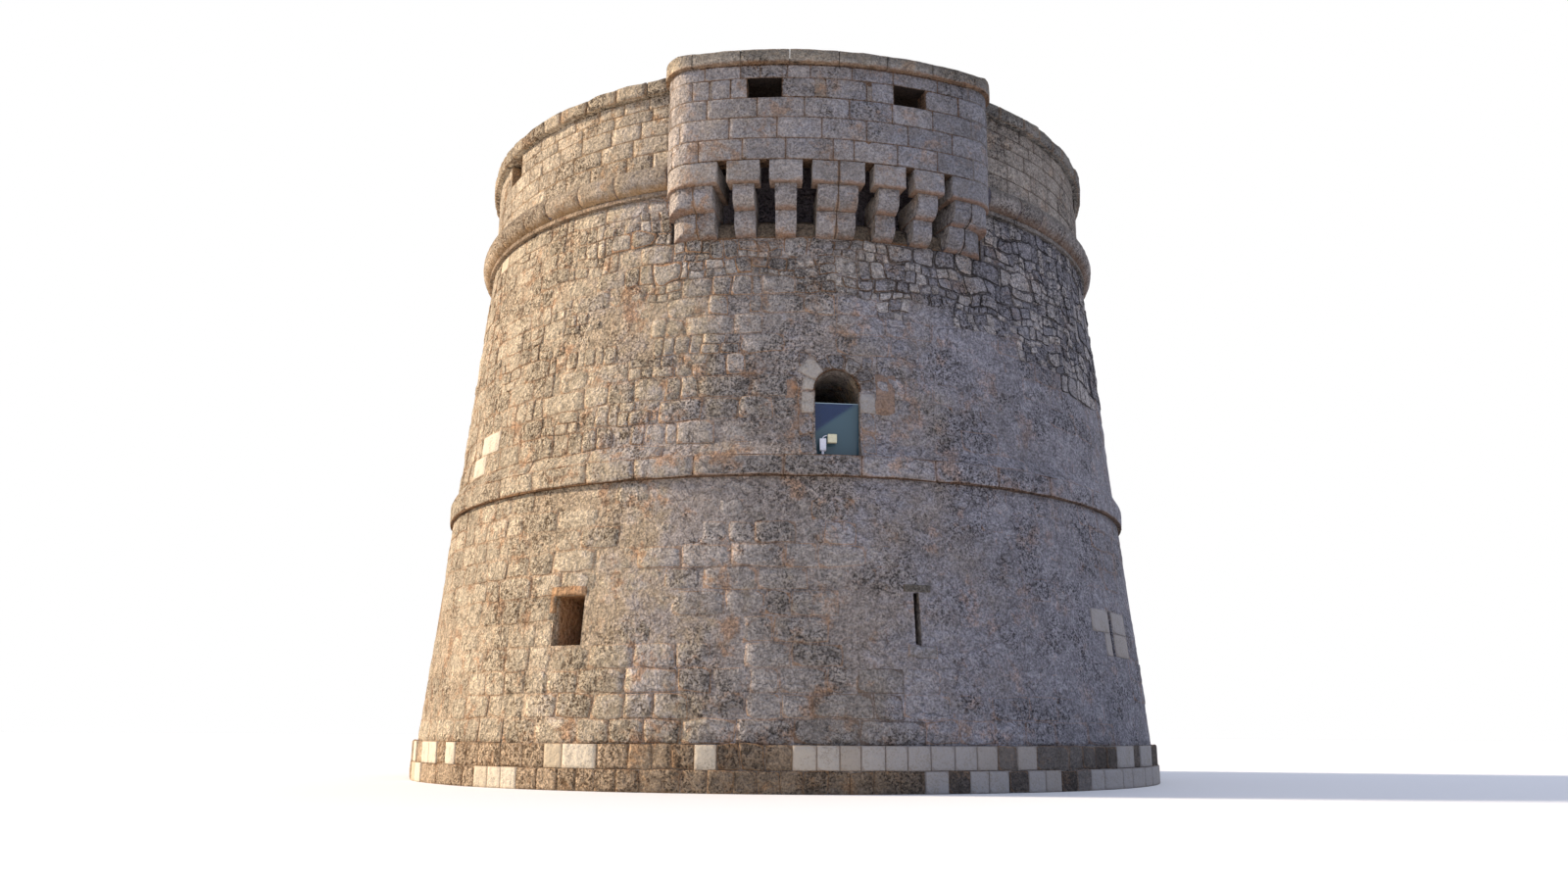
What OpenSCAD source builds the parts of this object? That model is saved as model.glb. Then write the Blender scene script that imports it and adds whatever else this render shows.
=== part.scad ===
// Martello tower: a battered drum of limestone masonry on a two-course plinth,
// with an arched upper doorway, a cordon, a parapet and a corbelled box over the door.
// Origin at the centre of the footing, +Z up, the doorway looks along -Y, millimetres.
// Azimuths are in degrees from the doorway, positive towards +X.

/* [Plinth] */
// Height of the lower plinth course
plinth_lower_h = 360; // [250:10:500]
// Height of the upper plinth course
plinth_upper_h = 400; // [250:10:500]
// How far the lower plinth course stands out from the foot of the wall
plinth_out = 160; // [60:10:250]
// Set-back of the upper plinth course from the lower one
plinth_set_back = 20; // [0:5:50]
// Depth of the plinth stones into the footing
plinth_depth = 420; // [300:10:700]

/* [Lower wall] */
// Outer radius of the wall where it meets the plinth
foot_r = 7840; // [7400:20:8400]
// How much the lower wall leans in from its foot to the string course
lower_batter = 420; // [150:10:550]
// Radius of the rooms
room_r = 5000; // [4400:20:5300]
// Height of the wall from the plinth to the window sills
sill_h = 1640; // [900:20:2200]
// Height of the windows and slits of the lower storey
window_h = 880; // [500:20:1100]
// Height of the wall from the window heads to the string course
head_h = 1980; // [1900:20:2600]
// Width of the lower window
window_w = 660; // [400:10:900]
// Azimuth of the lower window
window_az = -36.8; // [-45:0.1:-28]
// Width of the narrow slits
slit_w = 110; // [80:5:200]
// Azimuth of the first slit
slit_az = 9.9; // [2:0.1:16]
// Angle from one slit to the next in front
slit_step = 38; // [34:0.5:41]
// Number of plain slits round the unseen side
rear_slits = 3; // [1:1:4]

/* [String course] */
// Height of the string course
string_h = 380; // [250:10:500]
// How far the string course stands out
string_out = 80; // [40:5:150]
// Height of the sloped weathering above the string course
weather_h = 260; // [120:10:400]
// Set-back of the upper wall from the head of the lower wall
upper_set_back = 60; // [0:5:100]

/* [Doorway] */
// Width of the doorway
door_w = 800; // [600:10:1000]
// Height of the doorway's straight sides above the string course
door_straight = 1210; // [900:10:1500]
// Width of the jamb stones
jamb_w = 300; // [200:10:400]
// Height of the arch stones at the crown
crown_h = 310; // [200:10:450]
// Number of arch stones
arch_stones = 7; // [5:2:11]
// Height of the glass sheet across the doorway
glass_h = 1010; // [600:10:1150]
// Thickness of the glass sheet
glass_t = 12; // [8:1:20]
// How far the glass stands behind the face of the wall
glass_back = 180; // [150:10:500]

/* [Door fitting] */
// Height of the white post on the sill
post_h = 105; // [60:5:200]
// Side of the white post
post_side = 40; // [25:1:60]
// Offset of the post from the middle of the doorway, to the left
post_left = 262; // [100:2:300]
// Width of the box on the post
case_w = 115; // [80:5:180]
// Height of the box on the post
case_h = 220; // [160:5:350]
// Depth of the box on the post
case_d = 80; // [60:5:110]
// How far the fitting stands behind the face of the wall
fitting_back = 70; // [60:5:110]
// Width of the lamp head beside the box
lamp_w = 160; // [100:5:240]
// Height of the lamp head
lamp_h = 155; // [120:5:220]
// Depth of the lamp head
lamp_d = 100; // [50:5:110]
// Clear space between the box and the lamp head
lamp_gap = 27; // [10:1:80]
// Height of the lamp head's underside above the foot of the box
lamp_up = 145; // [40:5:150]
// Radius of the arm that carries the lamp head
arm_r = 11; // [5:1:18]

/* [Upper wall] */
// How much the upper wall leans in from the weathering to the cordon
upper_batter = 445; // [150:10:500]
// Height of the plain wall from the doorway surround to the corbels
plain_h = 2270; // [1950:20:2800]
// Height of the lower corbel stage
corbel_lower_h = 440; // [300:10:500]
// Height of the upper corbel stage
corbel_upper_h = 430; // [300:10:500]
// Height from the corbels to the fillet under the cordon
shoulder_h = 170; // [100:10:250]

/* [Cordon and parapet] */
// Height of the fillet under the cordon
fillet_h = 80; // [40:5:120]
// How far the fillet stands out from the wall
fillet_out = 90; // [40:5:120]
// Radius of the cordon's half-round
cordon_r = 270; // [180:10:320]
// Set-back of the parapet from the head of the upper wall
parapet_back = 35; // [0:5:80]
// Thickness of the parapet
parapet_t = 800; // [500:10:1000]
// Height of the parapet from the cordon to the embrasure sills
breast_h = 1050; // [700:10:1300]
// Height of the embrasures under the coping
embrasure_h = 500; // [300:10:600]
// Width of the embrasures
embrasure_w = 640; // [400:10:800]
// Azimuth of the first embrasure on either side
embrasure_az = 65.9; // [50:0.1:75]
// Number of embrasures round the unseen side
rear_embrasures = 2; // [0:1:4]
// Height of the coping
coping_h = 300; // [200:10:400]
// How far the parapet coping stands out
coping_out = 150; // [60:5:200]
// Bevel along the outer top edge of the coping
coping_bevel = 60; // [20:5:100]

/* [Corbelled box] */
// Half the angle that the box spans
box_half = 25.7; // [24.6:0.1:27]
// How far the front of the box stands out from the parapet
box_out = 720; // [640:10:800]
// Thickness of the front of the box
box_wall_t = 350; // [250:10:400]
// Radius of the rounded corners in plan
corner_r = 600; // [300:10:640]
// Azimuth of the first slot on either side of the middle
slot_az = 4.35; // [3.8:0.05:5]
// Angle from one corbel to the next
corbel_step = 5.95; // [5.4:0.05:6]
// Width of the slots between the lintel blocks
slot_w = 170; // [100:5:220]
// Height of the lintel blocks and slots
lintel_h = 430; // [300:10:500]
// Width of a single corbel
corbel_w = 410; // [300:10:460]
// Width of the double corbel in the middle
corbel_pair_w = 760; // [600:10:860]
// Set-back of the upper corbels behind the lintel blocks
upper_back = 90; // [40:5:150]
// Set-back of the lower corbels behind the upper ones
lower_back = 240; // [150:10:280]
// Set-back of the corbels at the sides of the box
side_back = 50; // [10:5:90]
// Azimuth of the joint in the outermost corbels
end_joint_az = 20.5; // [19:0.1:21.5]
// Radius of the corbel noses
nose_r = 240; // [150:5:280]
// Depth of the chute behind the face of the wall
chute_back = 400; // [250:10:500]
// Slope height of the chute floor over the recessed blocks
chute_fall = 220; // [100:10:300]
// How far the recessed blocks stop below the upper corbels
recess_drop = 140; // [50:10:200]
// Height of the course over the windows of the box
box_top_h = 280; // [150:10:400]
// Height of the windows in the box
box_window_h = 400; // [250:10:450]
// Width of the windows in the box
box_window_w = 640; // [400:10:700]
// Azimuth of the windows in the box on either side
box_window_az = 10.4; // [9:0.1:11]
// Thickness of the side walls of the box
cheek_t = 800; // [700:10:820]
// How far the box coping stands out
box_coping_out = 100; // [50:5:150]
// Thickness of the roof slab over the box
box_roof_t = 240; // [150:10:300]
// Width of the front wall that the roof slab bears on
roof_seat = 150; // [80:10:200]

/* [Floors and vaults] */
// Width of the ledge that each vault rests on
ledge = 150; // [100:10:250]
// Rise of the vault under the first floor
lower_rise = 1700; // [1000:20:1750]
// Thickness of the first-floor paving
paving_t = 240; // [100:10:240]
// Rise of the vault under the terrace
upper_rise = 2300; // [1600:20:2700]
// Thickness of the terrace paving
terrace_t = 260; // [100:10:300]
// Depth of the terrace below the top of the cordon
terrace_drop = 40; // [0:5:60]
// Height from the vault ledge of the upper storey to the foot of the corbels
upper_ledge_drop = 1900; // [1400:20:1900]
// Radius of the keystone at the crown of each vault
keystone_r = 700; // [500:20:1000]
// Number of rings of wedge stones round the keystone
vault_rings = 3; // [2:1:4]

/* [Hidden] */
$fn = 360;
nose_sides = 64;
cut_over = 10;

// Hairline joint between the blocks of one node
joint = 0.3;
// Widest block of a ring, in degrees
block_span = 22.5;

// Heights of the beds, from the ground up
plinth_z = plinth_lower_h;
wall_z = plinth_z + plinth_upper_h;
sill_z = wall_z + sill_h;
head_z = sill_z + window_h;
string_z = head_z + head_h;
door_z = string_z + string_h;
weather_z = door_z + weather_h;
spring_z = door_z + door_straight;
plain_z = spring_z + door_w / 2 + crown_h;
corbel_z = plain_z + plain_h;
corbel_upper_z = corbel_z + corbel_lower_h;
lintel_z = corbel_upper_z + corbel_upper_h;
fillet_z = lintel_z + shoulder_h;
cordon_z = fillet_z + fillet_h;
breast_z = cordon_z + 2 * cordon_r;
embrasure_z = breast_z + breast_h;
coping_z = embrasure_z + embrasure_h;
box_front_z = lintel_z + lintel_h;
box_head_z = coping_z - box_top_h;
box_sill_z = box_head_z - box_window_h;

// Radii of the faces
plinth_lower_r = foot_r + plinth_out;
plinth_upper_r = plinth_lower_r - plinth_set_back;
footing_r = plinth_lower_r - plinth_depth;
lower_head_r = foot_r - lower_batter;
string_r = lower_head_r + string_out;
upper_foot_r = lower_head_r - upper_set_back;
upper_head_r = upper_foot_r - upper_batter;
vault_seat_r = room_r + ledge;
parapet_r = upper_head_r - parapet_back;
parapet_in_r = parapet_r - parapet_t;
box_r = parapet_r + box_out;
box_in_r = box_r - box_wall_t;
upper_corbel_r = box_r - upper_back;
lower_corbel_r = upper_corbel_r - lower_back;
wall_at_corbels_r = upper_r(corbel_upper_z);
chute_r = wall_at_corbels_r - chute_back;

// Levels inside
upper_ledge_z = corbel_z - upper_ledge_drop;
lower_vault_top = door_z - paving_t;
terrace_z = breast_z - terrace_drop;
upper_vault_top = terrace_z - terrace_t;

// Azimuths of the openings
lower_openings = concat([window_az, slit_az, slit_az + slit_step],
    [for (i = [1 : rear_slits]) rear_az(i)]);
embrasures = [for (i = [0 : rear_embrasures + 1]) embrasure_az
    + i * (360 - 2 * embrasure_az) / (rear_embrasures + 1)];
corbels = [slot_az + corbel_step / 2, slot_az + 1.5 * corbel_step];
slots = [slot_az, slot_az + corbel_step, slot_az + 2 * corbel_step];
beside_box = [box_half, 360 - box_half];
corbel_half = box_half - degrees_of(side_back, box_r);
beside_corbels = [corbel_half, 360 - corbel_half];
half_joint = degrees_of(joint, room_r) / 2;
end_az = slots[2] + degrees_of(slot_w, box_r) / 2;
end_in = (slots[1] - slots[0] - degrees_of(slot_w + corbel_w, box_r)) / 2;
cheek_az = box_half - degrees_of(cheek_t, box_r);
roof_bearing = 1;
box_coping_r = box_r + box_coping_out;
coping_az = box_half + degrees_of(box_coping_out, box_r);
box_span = 10;

function rear_az(i) = slit_az + slit_step
    + i * (360 + window_az - slit_az - slit_step) / (rear_slits + 1);
function lower_r(z) = foot_r - lower_batter * (z - wall_z) / (string_z - wall_z);
function upper_r(z) = upper_foot_r
    - upper_batter * (z - weather_z) / (fillet_z - weather_z);
function degrees_of(width, radius) = 2 * asin(width / 2 / radius);
function spread(from, to, span) = let (n = ceil((to - from) / span - 0.001))
    [for (i = [0 : n - 1]) from + (to - from) * i / n];
function whole(from) = [from, from + 360];

// A block of a ring from one azimuth to another, its section drawn as radius and height
module block(from, to, half = half_joint) {
    rotate([0, 0, from + half - 90])
        rotate_extrude(angle = to - from - 2 * half) children();
}

// A row of blocks with joints at the given azimuths, and even ones between them
module blocks(at, span = block_span, half = half_joint) {
    joints = [for (i = [0 : len(at) - 2]) each spread(at[i], at[i + 1], span)];
    for (i = [0 : len(joints) - 1])
        block(joints[i], i + 1 < len(joints) ? joints[i + 1] : at[len(at) - 1], half)
            children();
}

// The space of an opening that runs radially through a wall, cut past its own bed joints
module opening(az, width, z, height) {
    rotate([0, 0, az])
        translate([-width / 2, -2 * foot_r, z - cut_over])
            cube([width, 2 * foot_r, height + 2 * cut_over]);
}

module band(inner, outer, z, height) {
    translate([inner, z])
        square([outer - inner, height]);
}

// Section of the lower wall between two beds
module lower_section(inner, z0, z1) {
    polygon([[inner, z0], [lower_r(z0), z0], [lower_r(z1), z1], [inner, z1]]);
}

// Section of the upper wall between two beds above the weathering
module upper_section(inner, z0, z1) {
    polygon([[inner, z0], [upper_r(z0), z0], [upper_r(z1), z1], [inner, z1]]);
}

// Section of the wall beside the doorway, with the sloped weathering at its foot
module door_section() {
    polygon([[room_r, door_z], [string_r, door_z], [upper_foot_r, weather_z],
        [upper_r(plain_z), plain_z], [room_r, plain_z]]);
}

module ground_floor() {
    color("#b3a58f")
        cylinder(r = footing_r, h = wall_z);
}

module plinth_lower_course() {
    color("#c9bda6")
        blocks(whole(-block_span / 2)) band(footing_r, plinth_lower_r, 0, plinth_lower_h);
}

module plinth_upper_course() {
    color("#d3c8b2")
        blocks(whole(0)) band(footing_r, plinth_upper_r, plinth_z, plinth_upper_h);
}

module lower_wall_sill_courses() {
    color("#b8ab96")
        blocks(whole(-block_span / 2)) lower_section(room_r, wall_z, sill_z);
}

module lower_wall_piers() {
    color("#b8ab96")
        difference() {
            blocks(concat(lower_openings, [lower_openings[0] + 360])) lower_section(room_r, sill_z, head_z);
            for (az = lower_openings)
                opening(az, az == window_az ? window_w : slit_w, sill_z, window_h);
        }
}

module lower_wall_head_courses() {
    color("#b8ab96")
        blocks(whole(-block_span / 2)) lower_section(vault_seat_r, head_z, string_z);
}

// Saucer dome under the first floor, levelled up flat
module lower_vault() {
    color("#a89a84")
        dome(head_z, lower_rise, lower_vault_top);
}

// A vault of wedge stones in rings round a keystone, with its underside on one sphere
module dome(spring, rise, top) {
    ring_w = (vault_seat_r - keystone_r) / vault_rings;
    rotate_extrude() dome_section(0, keystone_r, spring, rise, top);
    for (i = [1 : vault_rings]) {
        inner = keystone_r + (i - 1) * ring_w + joint;
        blocks(whole(0), half = degrees_of(joint, inner) / 2)
            dome_section(inner, keystone_r + i * ring_w, spring, rise, top);
    }
}

module dome_section(inner, outer, spring, rise, top) {
    ball_r = (room_r * room_r + rise * rise) / (2 * rise);
    difference() {
        band(inner, outer, spring, top - spring);
        translate([0, spring + rise - ball_r])
            circle(r = ball_r);
    }
}

module first_floor_paving() {
    color("#b8a98e")
        translate([0, 0, lower_vault_top])
            cylinder(r = vault_seat_r, h = paving_t);
}

module string_course() {
    color("#bdb098")
        blocks(whole(-block_span / 2)) band(vault_seat_r, string_r, string_z, string_h);
}

module upper_wall_door_courses() {
    color("#b5a893")
        difference() {
            blocks(whole(0)) door_section();
            opening(0, door_w + 2 * jamb_w, door_z, plain_z - door_z);
        }
}

// The part of the wall that the doorway's own stones fill
module door_surround() {
    intersection() {
        rotate([0, 0, -block_span - 90])
            rotate_extrude(angle = 2 * block_span) door_section();
        opening(0, door_w + 2 * jamb_w - 2 * joint, door_z, plain_z - door_z);
    }
}

module door_jambs() {
    color("#cfc4ae")
        difference() {
            door_surround();
            opening(0, door_w, door_z, door_straight);
            opening(0, 4 * door_w, spring_z + cut_over, plain_z - spring_z);
        }
}

// Wedge stones of the arch, squared to the courses of the wall outside
module door_arch() {
    wedge = 180 / arch_stones;
    hair = degrees_of(joint, door_w / 2) / 2;
    reach = 2 * (door_w / 2 + jamb_w + crown_h);
    color("#c6baa3")
        for (i = [0 : arch_stones - 1]) {
            from = i == 0 ? 0 : i * wedge + hair;
            to = i == arch_stones - 1 ? 180 : (i + 1) * wedge - hair;
            intersection() {
                door_surround();
                translate([0, 0, spring_z])
                    rotate([90, 0, 0])
                        linear_extrude(height = 2 * foot_r)
                            difference() {
                                polygon([[0, 0], [reach * cos(from), reach * sin(from)],
                                    [reach * cos(to), reach * sin(to)]]);
                                circle(r = door_w / 2);
                            }
            }
        }
}

module door_glass() {
    color("#7f9a97", 0.6)
        translate([-door_w / 2, glass_t - upper_foot_r + glass_back, door_z])
            cube([door_w, glass_t, glass_h]);
}

// Middle of the fitting on the sill, in front of the glass
module at_fitting(right, up) {
    translate([right - post_left, fitting_back - upper_foot_r, door_z + up])
        children();
}

module fitting_post() {
    color("white")
        at_fitting(0, 0)
            translate([-post_side / 2, -post_side / 2, 0])
                cube([post_side, post_side, post_h]);
}

module fitting_case() {
    color("white")
        at_fitting(0, post_h)
            translate([-case_w / 2, -case_d / 2, 0])
                cube([case_w, case_d, case_h]);
}

// The lamp head, with the short round arm that carries it from the box
module fitting_lamp() {
    color("#e8e2d2")
        at_fitting(case_w / 2, post_h + lamp_up) {
            translate([0, 0, min(case_h - lamp_up, lamp_h) / 2])
                rotate([0, 90, 0])
                    cylinder(r = arm_r, h = lamp_gap + arm_r);
            translate([lamp_gap, -lamp_d / 2, 0])
                cube([lamp_w, lamp_d, lamp_h]);
        }
}

module upper_wall_plain_courses() {
    color("#b2a590")
        blocks(whole(-block_span / 2))
            polygon([[room_r, plain_z], [upper_r(plain_z), plain_z],
                [upper_r(corbel_z), corbel_z], [vault_seat_r, corbel_z],
                [vault_seat_r, upper_ledge_z], [room_r, upper_ledge_z]]);
}

module upper_wall_corbel_courses() {
    color("#b2a590") {
        blocks(beside_corbels) upper_section(vault_seat_r, corbel_z, lintel_z);
        blocks(beside_box) upper_section(vault_seat_r, lintel_z + joint, fillet_z);
    }
}

// Dome over the first floor, levelled up under the terrace
module upper_vault() {
    color("#a89a84")
        dome(upper_ledge_z, upper_rise, upper_vault_top);
}

// The wall behind the chutes, up to the terrace
module box_back_wall() {
    color("#a3957e") {
        blocks([-corbel_half, corbel_half])
            band(vault_seat_r, chute_r, corbel_z, lintel_z - corbel_z);
        blocks([-box_half, box_half])
            polygon([[vault_seat_r, lintel_z + joint], [chute_r, lintel_z + joint],
                [chute_r, terrace_z], [parapet_in_r, terrace_z],
                [parapet_in_r, upper_vault_top], [vault_seat_r, upper_vault_top]]);
    }
}

// Section of a stone that projects from the chute's back, its nose rounded below
module corbel_section(front, z, height) {
    band(chute_r, front - nose_r, z, height);
    band(chute_r, front, z + nose_r, height - nose_r);
    intersection() {
        band(chute_r, front, z, nose_r);
        translate([front - nose_r, z + nose_r])
            circle(r = nose_r, $fn = nose_sides);
    }
}

// One stage of the corbels: a pair in the middle, singles on both sides and two stones
// at either end, the outermost one cut to the rounded plan of the box
module corbel_row(front, z, height) {
    half = degrees_of(corbel_w, box_r) / 2;
    pair = degrees_of(corbel_pair_w, box_r) / 2;
    blocks([-pair, 0, pair]) corbel_section(front, z, height);
    for (az = corbels) {
        block(az - half, az + half) corbel_section(front, z, height);
        block(-az - half, -az + half) corbel_section(front, z, height);
    }
    box_ends([end_az + end_in, end_joint_az], front, corbel_half, corner_r - upper_back)
        corbel_section(front, z, height);
}

// The plan of the box, with rounded outer corners
module box_plan(radius, half, corner) {
    turn = asin(corner / (radius - corner));
    centre = radius - corner;
    tangent = centre * cos(turn);
    for (side = [-1, 1]) {
        rotate(side * (half - turn) - 90)
            translate([centre, 0])
                circle(r = corner);
        polygon([[0, 0],
            [centre * sin(side * (half - turn)), -centre * cos(half - turn)],
            [tangent * sin(side * half), -tangent * cos(half)]]);
    }
    polygon([[0, 0], for (az = [-1 : 0.25 : 1])
        2 * radius * [sin(az * (half - turn)), -cos(az * (half - turn))]]);
}

// Blocks at either end of the box from the given azimuths on, cut to its plan
module box_ends(at, radius, half, corner) {
    for (i = [0 : len(at) - 1], side = [-1, 1]) {
        from = at[i] + half_joint;
        to = i + 1 < len(at) ? at[i + 1] - half_joint : half + 1;
        intersection() {
            rotate([0, 0, (side > 0 ? from : -to) - 90])
                rotate_extrude(angle = to - from) children();
            linear_extrude(height = 2 * coping_z)
                box_plan(radius, half - half_joint, corner);
        }
    }
}

module box_lower_corbels() {
    color("#b9ac96")
        corbel_row(lower_corbel_r, corbel_z, corbel_lower_h);
}

module box_upper_corbels() {
    color("#b9ac96")
        corbel_row(upper_corbel_r, corbel_upper_z, corbel_upper_h);
}

// Wall blocks between the lower corbels, their tops sloped as the floor of the chutes
module box_recess_blocks() {
    half = degrees_of(corbel_w, box_r) / 2;
    pair = degrees_of(corbel_pair_w, box_r) / 2;
    gaps = [[pair, corbels[0] - half], [corbels[0] + half, corbels[1] - half],
        [corbels[1] + half, end_az + end_in]];
    face_z = corbel_upper_z - recess_drop;
    color("#9c8f7a")
        for (gap = gaps, side = [-1, 1])
            block(side > 0 ? gap[0] : -gap[1], side > 0 ? gap[1] : -gap[0])
                polygon([[chute_r, corbel_z], [upper_r(corbel_z), corbel_z],
                    [upper_r(face_z), face_z], [chute_r, face_z + chute_fall]]);
}

// Blocks over the corbels, with the slots between them
module box_lintels() {
    half = degrees_of(slot_w, box_r) / 2;
    color("#beb19a") {
        blocks([-slots[0] + half, 0, slots[0] - half])
            band(box_in_r, box_r, lintel_z, lintel_h);
        for (i = [0 : 1]) {
            block(slots[i] + half, slots[i + 1] - half)
                band(box_in_r, box_r, lintel_z, lintel_h);
            block(-slots[i + 1] + half, -slots[i] - half)
                band(box_in_r, box_r, lintel_z, lintel_h);
        }
        box_ends([end_az], box_r, box_half, corner_r)
            band(chute_r, box_r, lintel_z, lintel_h);
    }
}

module box_front_wall() {
    color("#bbae98")
        blocks([-cheek_az, 0, cheek_az], box_span)
            band(box_in_r, box_r, box_front_z, box_sill_z - box_front_z);
}

module box_window_piers() {
    color("#bbae98")
        difference() {
            blocks([-cheek_az, -box_window_az, 0, box_window_az, cheek_az], block_span)
                band(box_in_r, box_r, box_sill_z, box_window_h);
            for (side = [-1, 1])
                opening(side * box_window_az, box_window_w, box_sill_z, box_window_h);
        }
}

module box_top_course() {
    color("#c0b39d")
        blocks([-cheek_az, 0, cheek_az], box_span)
            band(box_in_r, box_r, box_head_z, box_top_h);
}

// Side walls of the box, from the parapet out to the rounded corners
module box_cheeks() {
    color("#c2b59f")
        box_ends([cheek_az], box_r, box_half, corner_r)
            polygon([[chute_r, box_front_z], [box_r, box_front_z],
                [box_r, coping_z], [parapet_in_r, coping_z],
                [parapet_in_r, terrace_z], [chute_r, terrace_z]]);
}

// Slab that covers the box, borne by its front and side walls
module box_roof() {
    color("#b0a38c")
        blocks([-cheek_az - roof_bearing, 0, cheek_az + roof_bearing], box_span)
            band(parapet_in_r, box_in_r + roof_seat, coping_z, box_roof_t);
}

// Section of a coping stone with a bevelled outer edge
module coping_section(inner, outer) {
    polygon([[inner, coping_z], [outer, coping_z],
        [outer, coping_z + coping_h - coping_bevel],
        [outer - coping_bevel, coping_z + coping_h], [inner, coping_z + coping_h]]);
}

module box_coping() {
    bearing_az = cheek_az + roof_bearing;
    color("#cbbfa9") {
        blocks([-bearing_az, 0, bearing_az], box_span)
            coping_section(box_in_r + roof_seat, box_coping_r);
        box_ends([bearing_az], box_coping_r, coping_az, corner_r + box_coping_out)
            coping_section(parapet_in_r, box_coping_r);
    }
}

module cordon_fillet() {
    color("#b39a7c")
        blocks(beside_box)
            band(vault_seat_r, upper_head_r + fillet_out, fillet_z, fillet_h);
}

// Half-round course at the foot of the parapet
module cordon() {
    color("#bfb29c")
        blocks(beside_box) {
            polygon([[vault_seat_r, cordon_z], [parapet_r, cordon_z],
                [parapet_r, breast_z], [parapet_in_r, breast_z],
                [parapet_in_r, upper_vault_top], [vault_seat_r, upper_vault_top]]);
            translate([parapet_r, cordon_z + cordon_r])
                circle(r = cordon_r, $fn = nose_sides);
        }
}

module terrace_paving() {
    color("#b5a68b")
        translate([0, 0, upper_vault_top])
            cylinder(r = parapet_in_r, h = terrace_t);
}

module parapet_breast() {
    color("#bdb099")
        blocks(beside_box) band(parapet_in_r, parapet_r, breast_z, breast_h);
}

module parapet_piers() {
    color("#bdb099")
        difference() {
            blocks(concat([box_half], embrasures, [360 - box_half]))
                band(parapet_in_r, parapet_r, embrasure_z, embrasure_h);
            for (az = embrasures)
                opening(az, embrasure_w, embrasure_z, embrasure_h);
        }
}

module parapet_coping() {
    color("#cbbfa9")
        blocks([coping_az, 360 - coping_az])
            coping_section(parapet_in_r, parapet_r + coping_out);
}

ground_floor();
plinth_lower_course();
plinth_upper_course();
lower_wall_sill_courses();
lower_wall_piers();
lower_wall_head_courses();
lower_vault();
first_floor_paving();
string_course();
upper_wall_door_courses();
door_jambs();
door_arch();
door_glass();
fitting_post();
fitting_case();
fitting_lamp();
upper_wall_plain_courses();
upper_wall_corbel_courses();
upper_vault();
box_back_wall();
box_recess_blocks();
box_lower_corbels();
box_upper_corbels();
box_lintels();
box_front_wall();
box_window_piers();
box_cheeks();
box_top_course();
box_roof();
box_coping();
cordon_fillet();
cordon();
terrace_paving();
parapet_breast();
parapet_piers();
parapet_coping();
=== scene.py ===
import math
import random
import bmesh
import bpy
from mathutils import Matrix, Vector, noise


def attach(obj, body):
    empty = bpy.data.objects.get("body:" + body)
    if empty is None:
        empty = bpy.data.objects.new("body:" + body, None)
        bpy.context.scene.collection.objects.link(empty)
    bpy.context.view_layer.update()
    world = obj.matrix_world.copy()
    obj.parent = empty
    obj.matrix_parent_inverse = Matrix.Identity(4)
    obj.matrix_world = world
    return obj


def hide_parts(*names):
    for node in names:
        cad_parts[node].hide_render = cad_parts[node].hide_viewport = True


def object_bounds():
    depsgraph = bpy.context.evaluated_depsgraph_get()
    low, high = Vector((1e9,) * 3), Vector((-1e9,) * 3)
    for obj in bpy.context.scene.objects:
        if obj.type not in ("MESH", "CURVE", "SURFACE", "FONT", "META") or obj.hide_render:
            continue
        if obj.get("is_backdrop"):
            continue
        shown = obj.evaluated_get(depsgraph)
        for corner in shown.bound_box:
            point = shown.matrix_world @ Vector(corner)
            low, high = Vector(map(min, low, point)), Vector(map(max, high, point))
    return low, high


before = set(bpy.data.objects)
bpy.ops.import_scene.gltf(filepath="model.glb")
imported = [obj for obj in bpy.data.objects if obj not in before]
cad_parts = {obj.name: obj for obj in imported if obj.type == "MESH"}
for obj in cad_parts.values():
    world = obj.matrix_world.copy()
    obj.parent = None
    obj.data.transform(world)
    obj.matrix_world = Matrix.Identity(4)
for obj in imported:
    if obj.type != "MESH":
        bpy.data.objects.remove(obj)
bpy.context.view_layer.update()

# Camera: the photograph's own view, from 28 m away and about 1 m up, tilted up 13 degrees.
# The doorway looks along -Y, and the camera stands 7 degrees to the left of that line.
stand_turn = math.radians(-7.0)
eye = Vector((-0.05, -28.12, 0.948))
camera = bpy.data.objects.new("camera", bpy.data.cameras.new("camera"))
camera.data.sensor_width = 36
camera.data.lens = 28.125
camera.matrix_world = (
    Matrix.Rotation(stand_turn, 4, "Z")
    @ Matrix.Translation(eye)
    @ Matrix.Rotation(math.radians(90 + 13.41), 4, "X")
    @ Matrix.Rotation(math.radians(0.34), 4, "Z")
)
bpy.context.scene.collection.objects.link(camera)
bpy.context.scene.camera = camera
bpy.context.scene.view_settings.view_transform = "Standard"


# Plinth: two courses of squared limestone blocks round the foot, some of them new and pale.
# Each block is cut, laid on a bed of lime mortar and left to the weather.
def shade(hex_code):
    parts = [int(hex_code[i : i + 2], 16) / 255 for i in (1, 3, 5)]
    return tuple(c / 12.92 if c <= 0.04045 else ((c + 0.055) / 1.055) ** 2.4 for c in parts) + (1,)


def add_node(tree, kind, sockets=None, **settings):
    made = tree.nodes.new(kind)
    for key, value in settings.items():
        setattr(made, key, value)
    for socket, value in (sockets or {}).items():
        if isinstance(value, bpy.types.NodeSocket):
            tree.links.new(value, made.inputs[socket])
        else:
            made.inputs[socket].default_value = value
    return made


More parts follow.
